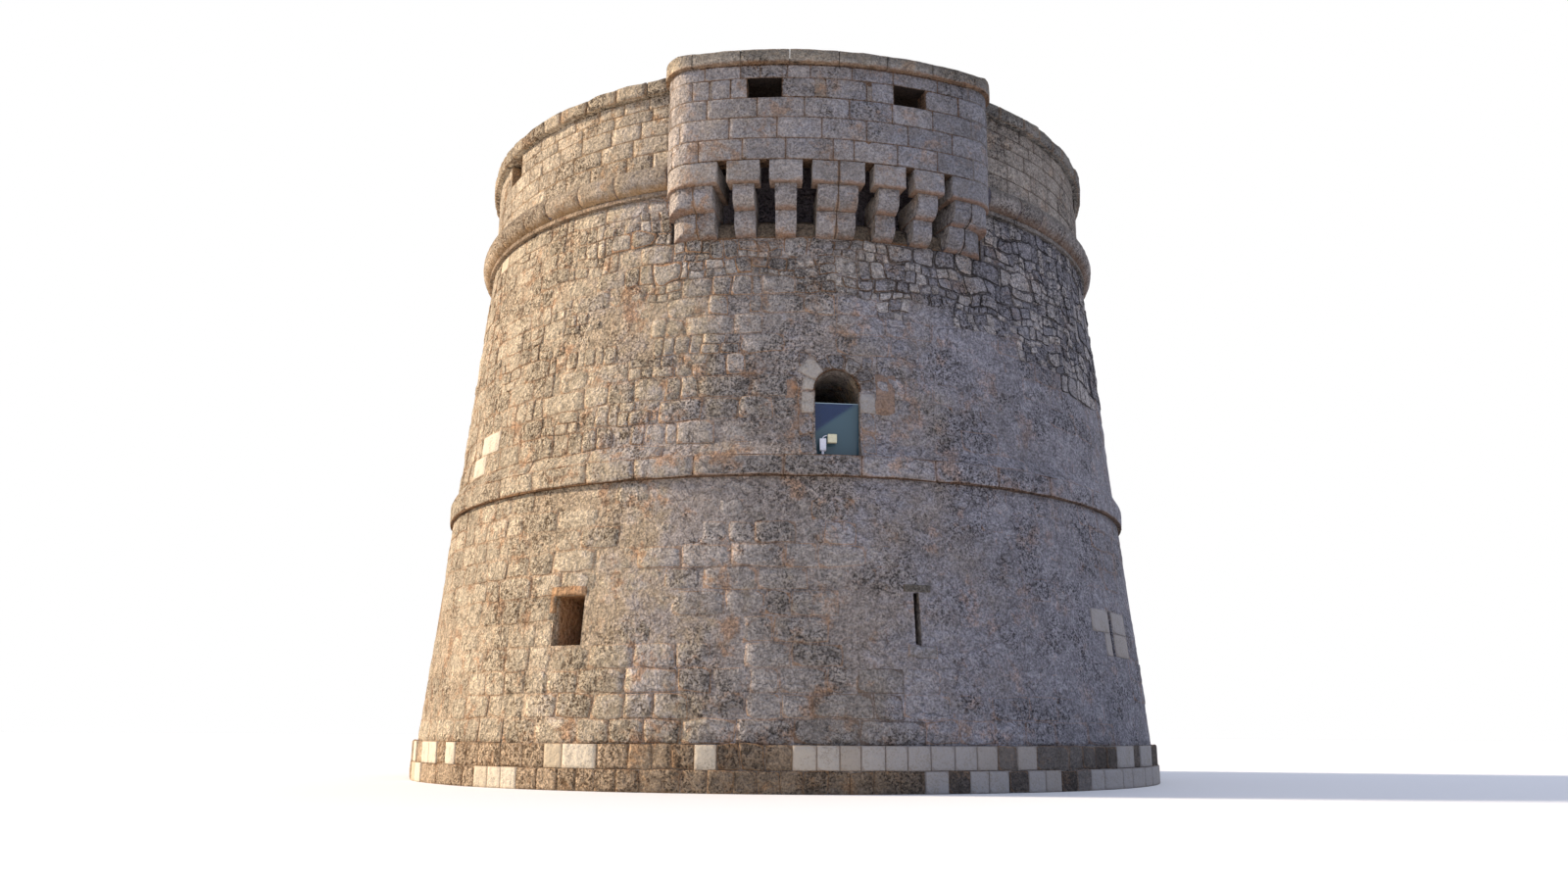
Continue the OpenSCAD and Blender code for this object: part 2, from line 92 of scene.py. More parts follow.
def weathered_limestone(name, warm, cool, dark, ochre, pitting=0.5, grit=1.0, blocks=True,
        washed=0.0, foot=0.0, crazed=0.0):
    """Soft shelly limestone, hewn or sawn: pits of 15 to 80 mm, lichen and ochre mortar stains.
    Its colour is warm at the sunlit left and cool at the right: partly grey lichen, partly painted
    sunlight and painted shade.
    pitting: share of the face eaten by salt. grit: depth of the grain. blocks: the stones carry
    tone, newness, roughness and rim. washed: height over which rain has bared the lime coat.
    foot: height of the golden drip line. crazed: darkness of the fine cracks."""
    made = bpy.data.materials.new(name)
    made.use_nodes = True
    tree = made.node_tree
    tree.nodes.clear()
    place = add_node(tree, "ShaderNodeTexCoord").outputs["Object"]
    normal = add_node(tree, "ShaderNodeNewGeometry").outputs["Normal"]
    coordinates = add_node(tree, "ShaderNodeSeparateXYZ", {0: place}).outputs
    depth, height = coordinates["Y"], coordinates["Z"]

    def cloud(scale, detail, roughness=0.6):
        return add_node(tree, "ShaderNodeTexNoise", {"Vector": place, "Scale": scale,
            "Detail": detail, "Roughness": roughness}).outputs[0]

    def ramp(value, low, high, to_low=0.0, to_high=1.0):
        return add_node(tree, "ShaderNodeMapRange", {0: value, 1: low, 2: high, 3: to_low,
            4: to_high}, interpolation_type="SMOOTHSTEP").outputs[0]

    def sums(kind, a, b):
        return add_node(tree, "ShaderNodeMath", {0: a, 1: b}, operation=kind).outputs[0]

    def times(a, b):
        return sums("MULTIPLY", a, b)

    def vector(kind, output, *inputs):
        return add_node(tree, "ShaderNodeVectorMath", dict(enumerate(inputs)),
            operation=kind).outputs[output]

    def blend(share, a, b, kind="MIX"):
        return add_node(tree, "ShaderNodeMix", {0: share, 6: a, 7: b}, data_type="RGBA",
            blend_type=kind).outputs[2]

    # side runs from -1 at the far left to 0.8 at the right. The scales give weather patches of
    # 1.4 m, mottling of 250 mm, pits of 90 mm, specks of 40 mm and grain of 30 mm.
    side = vector("DOT_PRODUCT", "Value", place, (0.130, 0.028, 0.0))
    patches = cloud(0.7, 5, 0.62)
    mottle = cloud(4.0, 5, 0.66)
    pits = cloud(11.5, 3)
    specks = cloud(25.0, 2)
    grain = cloud(30.0, 3, 0.75)
    drift = cloud(0.9, 4, 0.7)
    shaded = ramp(side, -0.6, 0.1)
    if blocks:
        block = add_node(tree, "ShaderNodeAttribute", attribute_name="block")
        told = add_node(tree, "ShaderNodeSeparateColor", {0: block.outputs["Color"]}).outputs
        tone, fresh, rough = told[0], told[1], told[2]
        rubble = ramp(rough, 0.6, 0.8)
        drift = sums("ADD", drift, ramp(tone, 0, 1, 0.05, -0.05))
        drift = sums("ADD", drift, times(rough, 0.06))
    eaten = ramp(drift, 0.62 - 0.2 * pitting, 0.72 - 0.2 * pitting)
    hollow = times(ramp(pits, 0.47, 0.36), eaten)
    fine = times(ramp(specks, 0.45, 0.38), ramp(eaten, 0, 1, 0.3, 1.0))

    # Painted sunlight and shade: faces turned to the sun are painted warm whichever side they are
    # on, and the right is painted cool as shade, partly grey lichen.
    painted_sun_share = vector("DOT_PRODUCT", "Value", normal, (-0.97, 0.24, 0.0))
    turned = sums("ADD", side, times(patches, 1.1))
    turned = sums("ADD", turned, times(mottle, 0.6))
    turned = sums("SUBTRACT", turned, ramp(painted_sun_share, 0.35, 0.85, 0, 0.5))
    lichen_and_painted_shade_share = sums("MAXIMUM", ramp(turned, -0.1, 1.1), ramp(turned, 0.05, 0.4, 0, 0.64))
    colour = blend(lichen_and_painted_shade_share, shade(warm), shade(cool))
    stain = ramp(cloud(1.7, 7, 0.74), 0.53, 0.64, 0, 0.65)
    colour = blend(times(stain, ramp(side, -0.9, 0.6, 1.15, 0.3)), colour, shade(ochre))

    # Lightness in mottled patches, lighter on the raised grain and darker in its pits and specks:
    # partly dirt, partly painted light and shade on the relief.
    light = ramp(sums("ADD", times(mottle, 0.6), times(patches, 0.4)), 0.36, 0.64, 0.76, 1.16)
    light = times(light, ramp(pits, 0.36, 0.62, 1.0 - 0.2 * grit, 1.0 + 0.13 * grit))
    light = times(light, ramp(specks, 0.44, 0.62, 1.0 - 0.1 * grit, 1.0 + 0.22 * grit))
    relief = sums("ADD", times(mottle, 1.5), times(grain, 0.44 * grit))
    relief = sums("ADD", relief, times(pits, ramp(eaten, 0, 1, 1.35 * grit, 1.7)))
    relief = sums("SUBTRACT", relief, times(fine, 0.14 * grit))
    if blocks:
        light = times(light, ramp(tone, 0, 1, 0.88, 1.10))
        light = times(light, sums("ADD", 1.0, times(rubble, ramp(tone, 0, 1, -0.18, 0.28))))
        colour = blend(ramp(fresh, 0, -1, 0, 0.75), colour, shade("#756D5C"))
        greyer = times(times(rubble, ramp(tone, 0.3, 0.7)), 0.5)
        colour = blend(greyer, colour, shade("#ADA498"))
    grey = add_node(tree, "ShaderNodeCombineColor", {0: light, 1: light, 2: light}).outputs[0]
    colour = blend(1.0, colour, grey, "MULTIPLY")

    # Dirt settles between the grains and in the hollows; its colour is painted brown as lit at the
    # sunny left and near-black as shade at the right.
    lit_and_shaded_grime = blend(ramp(side, -0.3, 0.5), shade(dark), shade("#2C292B"))
    lit_and_shaded_grime = blend(ramp(side, -0.9, -0.4), shade("#644A2C"), lit_and_shaded_grime)
    dirt = times(ramp(grain, 0.52, 0.34, 0, 0.6 * grit), ramp(drift, 0.38, 0.58, 0.35, 1.0))
    colour = blend(dirt, colour, lit_and_shaded_grime)
    colour = blend(times(hollow, ramp(side, -0.9, -0.3, 0.75, 0.5)), colour, lit_and_shaded_grime)
    colour = blend(times(fine, 0.8), colour, lit_and_shaded_grime)
    if crazed:
        bend = add_node(tree, "ShaderNodeTexNoise", {"Vector": place, "Scale": 2.2, "Detail": 4.0})
        bent = vector("MULTIPLY_ADD", "Vector", bend.outputs["Color"], (0.5, 0.5, 0.5), place)
        bent = vector("MULTIPLY", "Vector", bent, (1.0, 1.0, 1.7))
        gap = add_node(tree, "ShaderNodeTexVoronoi", {"Vector": bent, "Scale": 2.3},
            feature="DISTANCE_TO_EDGE").outputs[0]
        crack = times(ramp(gap, 0.04, 0.01), ramp(cloud(1.4, 3), 0.46, 0.56))
        colour = blend(times(crack, crazed), colour, lit_and_shaded_grime)
        relief = sums("SUBTRACT", relief, times(crack, 0.12))
    if not blocks:
        # Faces looking down above 11.8 m, as in the box, are darkened almost to black: partly soot
        # where no rain reaches, partly painted shade under things.
        facing = add_node(tree, "ShaderNodeSeparateXYZ", {0: normal}).outputs["Z"]
        underside_soot_and_shade = times(ramp(facing, -0.5, -0.9), ramp(height, 11.8, 12.2))
        colour = blend(times(underside_soot_and_shade, 0.85), colour, shade("#1C191A"))
    if foot:
        # The drip's gold is painted light at the sunlit left and dark brown as shade at the right,
        # and the grimy crown is painted fainter towards the sunlit left.
        drip = sums("ADD", height, times(mottle, 0.16))
        gold = blend(shaded, shade("#CFA26C"), shade("#80614A"))
        colour = blend(ramp(drip, foot + 0.16, foot, 0, 0.7), colour, gold)
        crown = times(ramp(drip, foot + 0.2, foot + 0.4), ramp(side, -0.9, -0.3, 0.15, 0.5))
        colour = blend(crown, colour, shade("#746C5F"))
    if washed:
        # The core behind the bare rubble is dark. The reveals of the lower window are painted golden
        # as bounce light at the sunlit left, those at the right dark as shade, and the passage
        # behind them is painted dark as shade.
        bare = times(ramp(height, washed, washed + 0.5), ramp(side, -0.15, 0.05))
        bare = times(bare, ramp(depth, 2.6, 1.4))
        colour = blend(times(bare, 0.45), colour, shade("#3A342D"))
        reach = vector("LENGTH", "Value", vector("MULTIPLY", "Vector", place, (1.0, 1.0, 0.0)))
        low = ramp(height, 3.45, 3.35)
        painted_reveal_light_and_shade = blend(ramp(side, -0.5, -0.3), shade("#D89F6A"), shade("#3A322E"))
        colour = blend(times(times(ramp(reach, 7.56, 7.42), low), 0.8), colour, painted_reveal_light_and_shade)
        colour = blend(times(times(ramp(reach, 7.1, 6.5), low), 0.85), colour, shade("#241E1C"))
    if blocks:
        # Sawn stones are pale at the sunlit left and grey at the right: painted lit and shaded
        # copies of one stone.
        away = ramp(side, -0.75, 0.0)
        sawn = blend(away, shade("#DCCCB0"), shade("#97928E"))
        aged = blend(away, shade("#B9A27E"), shade("#938A80"))
        sawn = blend(ramp(tone, 0.6, 0.95, 0, 0.6), sawn, aged)
        soiled = ramp(sums("ADD", grain, times(mottle, 0.8)), 0.92, 0.68, 0, 0.6)
        sawn = blend(soiled, sawn, shade("#847A6C"))
        colour = blend(ramp(fresh, 0, 1), colour, sawn)
        # Joints: worn passes 1 near the rim of a stone. Squared stones have a thin seam,
        # rubble and old stones an open crevice, and dressed ones a bed stained with ochre.
        worn = sums("ADD", block.outputs["Alpha"], times(mottle, 0.5))
        worn = sums("ADD", worn, ramp(rough, 0.5, 0.8, 0, 0.07))
        old = ramp(fresh, -0.1, -0.3)
        crevice = sums("MAXIMUM", ramp(rough, 0.5, 0.8), old)
        square = ramp(rough, 0.14, 0.1)
        bedded = ramp(rough, 0, -1)
        rim = times(ramp(worn, 1.04, 1.25), ramp(rough, 0, 0.7, 0.3, 0.85))
        rim = times(rim, sums("MAXIMUM", crevice, ramp(side, -0.4, 0.3, 0.9, 0.45)))
        for start, kind, share in ((1.1, square, 0.42), (1.08, old, 0.6), (1.04, bedded, 0.48)):
            rim = sums("MAXIMUM", rim, times(ramp(worn, start, 1.25), times(kind, share)))
        # Crevices and seams are painted ochre and tan as lit at the sunny left and near-black and
        # dark brown as shade at the right, partly the mortar's own colour.
        pointing = blend(times(crevice, shaded), shade(ochre), lit_and_shaded_grime)
        lit_and_shaded_seam = blend(shaded, shade("#A97F55"), shade("#5A483B"))
        pointing = blend(square, pointing, lit_and_shaded_seam)
        pointing = blend(bedded, pointing, shade("#A5703F"))
        colour = blend(times(rim, ramp(fresh, 0, 1, 1.0, 0.65)), colour, pointing)
        relief = times(relief, ramp(fresh, 0, 1, 1.0, 0.12))
    bump = add_node(tree, "ShaderNodeBump", {"Height": relief, "Distance": 0.17, "Strength": 1.0})
    face = add_node(tree, "ShaderNodeBsdfPrincipled", {"Base Color": colour,
        "Normal": bump.outputs[0], "Roughness": 0.92, "Specular IOR Level": 0.2})
    add_node(tree, "ShaderNodeOutputMaterial", {0: face.outputs[0]})
    return made


chance = random.Random(41)
noise.seed_set(41)  # noise_vector takes its offsets from the clock otherwise


def course(low, high, spans, shortest, longest, proud=(0.0, 0.0), rough=0.0):
    """Blocks of random length between two beds: from, to, low, high, fresh, proud, rough.
    fresh is 1 for a new pale stone and below 0 for a dark old one, proud is how far it stands
    out in metres, and rough runs from 0, squared, to 1, rubble."""
    laid = []
    for start, end in spans:
        at = start
        while at < end - 1e-6:
            length = chance.uniform(shortest, longest)
            if end - at - length < shortest * 0.75:
                length = end - at if end - at < longest * 1.25 else (end - at) / 2
            laid.append([at, at + length, low, high, 0.0, chance.uniform(*proud), rough])
            at += length
    return laid


def set_out(low, high, joints, mean, fresh=(), proud=(0.0, 0.0)):
    """Blocks with joints at given azimuths, those numbered in fresh being new and pale."""
    return [[math.radians(a) * mean, math.radians(b) * mean, low, high, float(n in fresh),
             chance.uniform(*proud), 0.0] for n, (a, b) in enumerate(zip(joints, joints[1:]))]


def keep(piece_name, cut, surface):
    """The finished piece, fixed to the tower."""
    piece = bpy.data.objects.new(piece_name, bpy.data.meshes.new(piece_name))
    cut.to_mesh(piece.data)
    cut.free()
    piece.data.materials.append(surface)
    bpy.context.scene.collection.objects.link(piece)
    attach(piece, "root")
    return piece


def lay(name, blocks, wrap, surface, back=0.06, joint=0.008, cuts=4, worn=0.008,
        wander=0.008, arris=0.008):
    """Blocks cut square, their arrises worn off, each face hewn uneven, and bent onto the wall.
    The material reads tone, fresh, rough and rim from the attribute named block."""
    hidden = -4.0  # rim of the backs, where no joint is painted
    cut = bmesh.new()
    which = cut.faces.layers.int.new("which")
    for n, (x0, x1, z0, z1, fresh, proud, rough) in enumerate(blocks):
        gap = joint * (1 + 0.7 * rough)
        size = Vector((x1 - x0 - gap, back + proud, z1 - z0 - gap))
        middle = Vector(((x0 + x1) / 2, (back - proud) / 2, (z0 + z1) / 2))
        made = bmesh.ops.create_cube(cut, size=1, matrix=Matrix.LocRotScale(middle, None, size))
        for f in {f for v in made["verts"] for f in v.link_faces}:
            f[which] = n
    front = [e for e in cut.edges if all(v.co.y < back / 2 for v in e.verts)]
    bmesh.ops.bevel(cut, geom=front, offset=arris, segments=1, profile=0.5, affect="EDGES",
        material=-1, clamp_overlap=True)
    rows = [e for e in cut.edges if all(v.co.y < back * 0.75 for v in e.verts)
            and e.calc_length() > arris * 3]
    bmesh.ops.subdivide_edges(cut, edges=rows, cuts=cuts, use_grid_fill=True)
    told = cut.verts.layers.float_color.new("block")
    owner = {}
    for f in cut.faces:
        f.smooth = True
        for v in f.verts:
            owner[v] = f[which]
    tones = [chance.random() for _ in blocks]
    for v, n in owner.items():
        x0, x1, z0, z1, fresh, proud, rough = blocks[n]
        a = 2 * (v.co.x - (x0 + x1) / 2) / (x1 - x0)
        b = 2 * (v.co.z - (z0 + z1) / 2) / (z1 - z0)
        rim = float(max(abs(a), abs(b)) > 0.86)
        if v.co.y > back * 0.75:
            rim = hidden
        else:
            old = 1.0 - 0.9 * max(0.0, fresh)
            unsquared = max(0.0, rough)
            here = Vector((v.co.x, v.co.z, 0))
            shared = noise.noise_vector(here * 1.9) * unsquared * 0.15
            drift = noise.noise_vector(here * 4 + Vector((0, 0, n * 0.37)))
            drift = drift * wander * old * (1 + rough)
            corner = (0.012 + 0.05 * unsquared) * old * (a * b) ** 2
            v.co.x += shared.x + drift.x - corner * a * (x1 - x0) / 2
            v.co.z += shared.y + drift.y - corner * b * (z1 - z0) / 2
            swell = (1 - a ** 4) * (1 - b ** 4) - 0.5
            uneven = noise.fractal(here * 5 + Vector((0, 0, n * 1.7)), 0.8, 2.1, 3)
            v.co.y -= worn * old * (1 + rough) * (0.6 * swell + uneven)
        v[told] = (tones[n], fresh, rough, rim)
        v.co = wrap(v.co.x, -v.co.y, v.co.z)
    bmesh.ops.recalc_face_normals(cut, faces=cut.faces)
    return keep(name, cut, surface)


def round_wall(face, mean):
    """Bends a straight course round the tower: along is metres at the mean radius."""
    ground, tower_top = 0.0, 13.338

    def wrap(along, out, z):
        az, r = along / mean, face(z) + out
        return Vector((r * math.sin(az), -r * math.cos(az), max(ground, min(tower_top, z))))
    return wrap


def ring(name, inner, outer, low, high, surface):
    """A plain ring of rubble and mortar behind the facing stones."""
    cut = bmesh.new()
    profile = ((inner, low), (outer, low), (outer, high), (inner, high))
    corners = [cut.verts.new((0, -r, z)) for r, z in profile]
    edges = [cut.edges.new((corners[n - 1], corners[n])) for n in range(4)]
    bmesh.ops.spin(cut, geom=corners + edges, cent=(0, 0, 0), axis=(0, 0, 1), angle=2 * math.pi,
        steps=180, use_merge=True)
    bmesh.ops.recalc_face_normals(cut, faces=cut.faces)
    return keep(name, cut, surface)


def finish(surface, *nodes):
    """Gives CAD nodes, which stay as they are, their surface."""
    for node in nodes:
        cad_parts[node].data.materials.clear()
        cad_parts[node].data.materials.append(surface)


# Hewn or sawn and set by hand: the old blocks are brown, matt and pitted, the new ones even.
plinth_stone = weathered_limestone("weathered_plinth_limestone", "#DDBF9A", "#5F554D", "#40372E",
    "#B58B62", 1.0)
# Lime and coarse sand, packed wet by trowel: pale, matt and sandy, with few pits.
lime_mortar = weathered_limestone("lime_mortar", "#BFA484", "#918A84", "#544A40", "#B98E6B", 0.4,
    0.8, blocks=False)
full = 2 * math.pi
first_bed, plinth_top = 0.36, 0.76
lower_radius, upper_radius = 7.98, 7.96
# Joints in front, in degrees. They were read off the photograph and turned into azimuths outside
# this script, by a fit of its camera. Pale blocks are numbered from the left.
lower_joints = (-71.5, -67.7, -61.0, -56.2, -52.9, -50.3, -47.4, -44.8, -42.0, -38.6, -35.5,
    -32.8, -30.1, -27.2, -24.3, -19.1, -16.1, -13.0, -10.3, -7.6, -5.0, -2.1, 0.5, 3.4, 6.4, 9.5,
    12.5, 15.3, 17.9, 20.8, 23.8, 26.6, 29.4, 32.3, 35.2, 38.3, 43.3, 46.4, 51.5, 55.5, 61.9)
upper_joints = (-69.9, -68.0, -64.5, -61.5, -58.4, -55.6, -52.7, -49.9, -45.4, -41.2, -37.7,
    -34.9, -30.1, -25.8, -22.9, -20.5, -17.6, -15.0, -12.2, -9.2, -6.2, -3.4, -0.7, 1.8, 4.7, 7.4,
    10.3, 13.4, 16.4, 19.3, 22.3, 25.4, 31.2, 33.8, 36.6, 39.4, 42.1, 47.7, 50.3, 56.7, 62.2)
lower_pale = (0, 5, 6, 7, 25, 27, 28, 30, 31, 34, 35, 36, 37, 38, 39)
upper_pale = (1, 2, 4, 10, 11, 16, 20, 21, 22, 23, 24, 25, 26, 27, 28, 30, 36, 38)
seen_blocks = len(lower_joints) - 1  # as many in both courses; those behind them are made up
blocks = set_out(0.0, first_bed, lower_joints, lower_radius, lower_pale)
rest = (math.radians(61.9) * lower_radius, math.radians(288.5) * lower_radius)
blocks += course(0.0, first_bed, [rest], 0.38, 0.62)
tops = set_out(first_bed, plinth_top, upper_joints, upper_radius, upper_pale)
rest = (math.radians(62.2) * upper_radius, math.radians(290.1) * upper_radius)
tops += course(first_bed, plinth_top, [rest], 0.36, 0.60)
for block in blocks[seen_blocks:] + tops[seen_blocks:]:
    block[4] = float(chance.random() < 0.22)
for block in blocks + tops:
    block[6] = 0.0 if block[4] else chance.uniform(0.0, 0.5)
    block[5] = 0.0 if block[4] else chance.uniform(-0.02, 0.0)
    if 1.7 < block[0] < 10.5 and not block[4]:  # cleaner old blocks on the shaded side
        block[4] = chance.uniform(0.15, 0.5)
lay("lower_plinth_stones", blocks, round_wall(lambda z: 7.983, lower_radius), plinth_stone,
    back=0.10, cuts=5, wander=0.006)
lay("upper_plinth_stones", tops, round_wall(lambda z: 7.964, upper_radius), plinth_stone,
    back=0.10, cuts=5, wander=0.006)
lower_bed = ring("lower_plinth_mortar", 7.58, 7.955, 0.0, 0.358, lime_mortar)
upper_bed = ring("upper_plinth_mortar", 7.58, 7.935, 0.358, 0.757, lime_mortar)
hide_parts("plinth_lower_course")
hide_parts("plinth_upper_course")

# Lower wall: eleven courses of squared limestone leaning inwards, pointed with lime mortar.
# Much of the face still wears its old lime coat, which hides the joints.

# Squared with the hammer and worn by salt wind: pitted and crazed, with ochre at the joints.
wall_stone = weathered_limestone("weathered_wall_limestone", "#E9D3B0", "#A5A2A8", "#463F38",
    "#CF9E74", 0.58, crazed=0.4)
# Lime plaster thrown on and floated by hand: softly mottled, with fine cracks of old age.
lime_coat = weathered_limestone("worn_lime_coat", "#E4CAA6", "#A3A0A6", "#4A423B", "#CF9E74",
    0.5, 1.0, blocks=False, washed=8.5, crazed=0.42)
lower_mean = 7.6


def lower_face(z):
    return 7.84 - 0.42 * (z - 0.76) / 4.5


def beside(gaps, mean, start=0.0, end=360.0):
    """What is left of a course, in metres at the mean radius, beside gaps (azimuth, width)."""
    spans, at = [], math.radians(start) * mean
    for az, width in sorted((az % 360, width) for az, width in gaps):
        middle = math.radians(az) * mean
        spans.append((at, middle - width / 2))
        at = middle + width / 2
    if gaps and (start, end) == (0, 360):
        spans[0] = (at - full * mean, spans[0][1])
    else:
        spans.append((at, math.radians(end) * mean))
    return spans


def coated(blocks, mean, share, holes, new=(), old=()):
    """Sinks some blocks behind the lime coat and leaves others proud of it, in drifts.
    Blocks at the points (azimuth, height) of new are new and pale, those of old dark."""
    for block in blocks:
        az, z = (block[0] + block[1]) / 2 / mean, (block[2] + block[3]) / 2
        drift = noise.noise(Vector((math.sin(az) * 3.5, math.cos(az) * 3.5, z * 0.55)))
        proud = 0.006 + 0.03 * (drift + 0.5 - share(math.degrees(az), z))
        block[5] = max(-0.02, min(0.020, proud + chance.uniform(-0.009, 0.009)))
        for points, kind in ((new, 0.9), (old, -0.35)):
            for at, height in points:
                past = (math.radians(at) * mean - block[0]) % (full * mean)
                if past < block[1] - block[0] and block[2] < height < block[3]:
                    block[4], block[5] = kind, 0.012
        past = [(block[0] + block[1]) / 2 - math.radians(at) * mean for at, _ in holes]
        near = any(abs((p + math.pi * mean) % (full * mean) - math.pi * mean) < 1.2 for p in past)
        block[6] = 0.1 if block[4] > 0 or near else chance.uniform(0.15, 0.45)
    return blocks


def coat_below(az, z):
    """Where the lime coat has lasted on the lower wall: least at the left and over the plinth."""
    az = (az + 180) % 360 - 180
    lasting = 0.62 + 0.16 * math.exp(-((az - 18) / 40) ** 4)
    at_left = 0.25 * math.exp(-((az + 62) / 16) ** 2)
    return lasting - at_left - 0.5 * math.exp(-(az / 12) ** 2 - ((z - 1.3) / 0.7) ** 2)


# Openings are (azimuth, width). Over the plinth big squared blocks lie bare below the doorway,
# and pale new blocks mend the wall on both sides of the right-hand slit, up to mend_end.
lower_holes = [(-36.8, 0.66), (9.9, 0.11), (47.9, 0.11), (116.73, 0.11), (185.55, 0.11),
    (254.38, 0.11)]
right_slit, mend_end = 2, 54.9
squared_rows = ((-6.2, 1.8, 10.0), (-4.0, 3.8, 7.4))
mend_starts = (45.2, 41.6)
mend_spots = ((44.5, 3.06), (46.4, 2.62), (50.5, 3.06), (50.5, 2.62))
dark_spots = ((-3, 1.0), (5, 1.0), (0, 1.4), (5, 1.4), (2, 1.8), (7, 1.8))
for name, low, high, rows, holes in (
    ("lower_wall_stones_under_sills", 0.76, 2.40, 4, []),
    ("lower_wall_stones_beside_windows", 2.40, 3.28, 2, lower_holes),
    ("lower_wall_stones_over_windows", 3.28, 5.26, 5, []),
):
    blocks = []
    step = (high - low) / rows
    for row in range(rows):
        base = low + row * step
        top = base + step
        gaps = [(az, width + 0.02) for az, width in holes]
        if low == plinth_top and row < len(squared_rows):
            joints = squared_rows[row]
            width = math.radians(joints[2] - joints[0]) * lower_mean
            gaps = [((joints[0] + joints[2]) / 2, width)]
            blocks += set_out(base, top, joints, lower_mean)
        elif holes:
            left = mend_starts[row]
            width = math.radians(mend_end - left) * lower_mean
            gaps[right_slit] = ((left + mend_end) / 2, width)
            blocks += set_out(base, top, (left, 47.3), lower_mean)
            blocks += set_out(base, top, (48.5, mend_end), lower_mean)
        turn = chance.random()
        spans = beside(gaps, lower_mean) if gaps else [(turn, turn + full * lower_mean)]
        blocks += course(base, top, spans, 0.42, 0.95)
    blocks = coated(blocks, lower_mean, coat_below, holes, mend_spots, dark_spots)
    lay(name, blocks, round_wall(lower_face, lower_mean), wall_stone, worn=0.010,
        wander=0.009)
finish(lime_coat, "lower_wall_sill_courses", "lower_wall_piers", "lower_wall_head_courses")

# Mends round the lower openings: a mortar lintel over the window, an olive stone strip over
# the slit and a lime sill below it, smoothed by trowel.

# Lime mixed with red earth and smoothed by trowel: orange, even and nearly without pits.
ochre_mortar = weathered_limestone("ochre_mortar", "#C89D72", "#98857B", "#5A4838", "#BC875C",
    0.1, 0.5, blocks=False)
window, slit = (math.radians(az) * lower_mean for az in (-36.8, 9.9))
over_window = [window - 0.42, window + 0.37, 3.285, 3.44, 0.0, 0.030, 0.2]
beside_window = [window - 0.44, window - 0.325, 2.98, 3.285, 0.0, 0.024, 0.2]
over_slit = [slit - 0.235, slit + 0.26, 3.29, 3.42, -1.0, 0.024, 0.0]
under_slit = [slit - 0.2, slit + 0.33, 2.18, 2.395, 0.5, 0.026, 0.2]
lay("window_mortar_lintel", [over_window, beside_window], round_wall(lower_face, lower_mean),
    ochre_mortar, wander=0.03, worn=0.004, arris=0.02)
lay("slit_strip", [over_slit], round_wall(lower_face, lower_mean), wall_stone,
    wander=0.004)
lay("slit_lime_sill", [under_slit], round_wall(lower_face, lower_mean), wall_stone,
    wander=0.03, worn=0.006, arris=0.02)

# Rooms: a paved floor, a saucer vault under the first floor and a dome under the terrace.
# They are seen only through the openings.

# The same limestone, hewn and never rained on: pale, dry and even.
room_stone = weathered_limestone("indoor_limestone", "#CBC2B4", "#AFACA8", "#6A6258", "#B09678",
    0.1, 0.5, blocks=False)
finish(room_stone, "ground_floor", "lower_vault", "first_floor_paving", "upper_vault")

# String course: long stones that stand out a hand's breadth, with sloped ones over them to shed the
# rain. A line of ochre mortar shows beneath, darkened to brown as a painted shadow line under the
# projecting stones.
string_radius = 7.5
long_stones = course(5.28, 5.64, [(0.4, 0.4 + full * string_radius)], 0.9, 1.7, (0.010, 0.016), 0.2)
lay("string_course_stones", long_stones, round_wall(lambda z: string_radius, string_radius),
    wall_stone, cuts=6, joint=0.003)
# Earthy mortar squeezed out of the beds and left rough: dark brown and eaten away; its dark brown
# also stands as painted shade under the string course.
bedding_mortar_and_painted_shade = weathered_limestone("bedding_mortar_and_painted_shade", "#95704C", "#7A6353", "#33261C", "#8E6442",
    0.9, blocks=False)
finish(bedding_mortar_and_painted_shade, "string_course")


# Upper wall: more courses of the same squared stone, the lime coat worn off in drifts.
# Under the cordon at the right the core of small rubble with open joints is laid bare.
def upper_face(z):
    if z < 5.90:
        return 7.5 - 0.14 * (z - 5.64) / 0.26
    return 7.36 - 0.445 * (z - 5.90) / 4.97


def laid_bare(az, z):
    """Share of the face that is bare rubble, from 0 to 1."""
    az = (az + 180) % 360 - 180
    right = 1 / (1 + math.exp(-(az + 2) / 4)) * (1 if az < 110 else 0)
    foot = 8.5 - 0.8 / (1 + math.exp(-(az - 30) / 7))
    high = 1 / (1 + math.exp(-(z - foot) / 0.32))
    under_box = math.exp(-((az + 18) / 13) ** 4) / (1 + math.exp(-(z - 9.2) / 0.12))
    return max(right * high, under_box)


def coat_above(az, z):
    """Where the lime coat has lasted on the upper wall: least at the left and on the rubble."""
    az = (az + 180) % 360 - 180
    bare = 0.5 * math.exp(-((az + 68) / 16) ** 2) + 0.9 * laid_bare(az, z)
    return 0.70 + 0.12 * math.exp(-((az - 18) / 40) ** 4) - bare


def split_rows(z0, z1, lowest, highest, share):
    """The height of a course as one row of stones or, in a share of cases, as two."""
    split = z0 + (z1 - z0) * chance.uniform(lowest, highest)
    return ((z0, split), (split, z1)) if chance.random() < share else ((z0, z1),)


